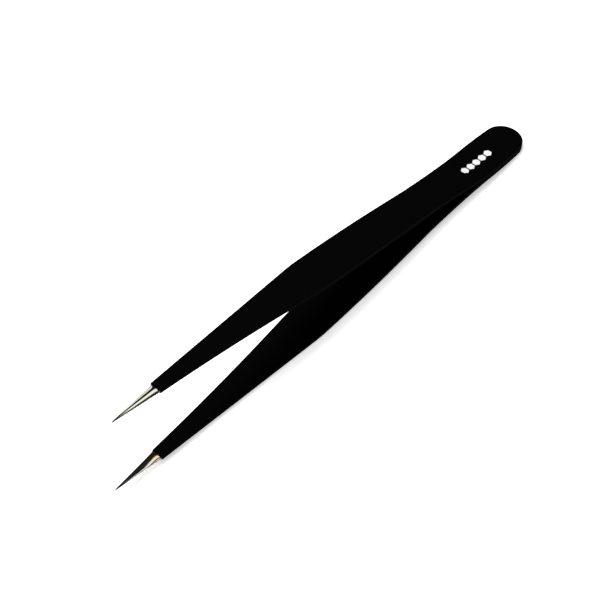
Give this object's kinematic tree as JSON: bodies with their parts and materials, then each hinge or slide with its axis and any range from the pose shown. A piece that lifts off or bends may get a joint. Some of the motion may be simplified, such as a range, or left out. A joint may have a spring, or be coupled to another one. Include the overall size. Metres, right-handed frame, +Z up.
{
  "type": "precision tweezers",
  "caption": "Straight precision tweezers with two slim coated spring arms welded at a rounded heel and long bare needle points for picking up tiny parts.",
  "frame": {"origin": "centre of the base's box, on the surface that the tweezers lie on with one arm over the other", "axes": "+X from the heel to the points, +Y across the blades, +Z up, the way the upper arm spreads from the lower one"},
  "size_m": [0.1386, 0.0102, 0.0248],
  "materials": {
    "steel": "polished",
    "coat": "satin",
    "print": "matte"
  },
  "bodies": {
    "heel": {"upper_blade_root": "steel", "lower_blade_root": "steel", "weld_nuggets": "steel", "heel_coat": "coat", "printed_mark": "print"},
    "upper_arm": {"upper_blade": "steel", "upper_arm_coat": "coat"},
    "lower_arm": {"lower_blade": "steel", "lower_arm_coat": "coat"}
  },
  "joints": [
    {"name": "upper_arm_bend", "type": "hinge", "parent": "heel", "child": "upper_arm", "pos_m": [-0.03948, 0, 0.00587], "axis": [0, 1, 0], "range_deg": [0, 5.73], "stiffness_Nm_per_rad": 1.6},
    {"name": "lower_arm_bend", "type": "hinge", "parent": "heel", "child": "lower_arm", "pos_m": [-0.03911, 0, 0.00186], "axis": [0, -1, 0], "range_deg": [0, 5.73], "stiffness_Nm_per_rad": 1.6}
  ],
  "couplings": [
    {"joint": "lower_arm_bend", "follows": "upper_arm_bend", "ratio": 1}
  ]
}
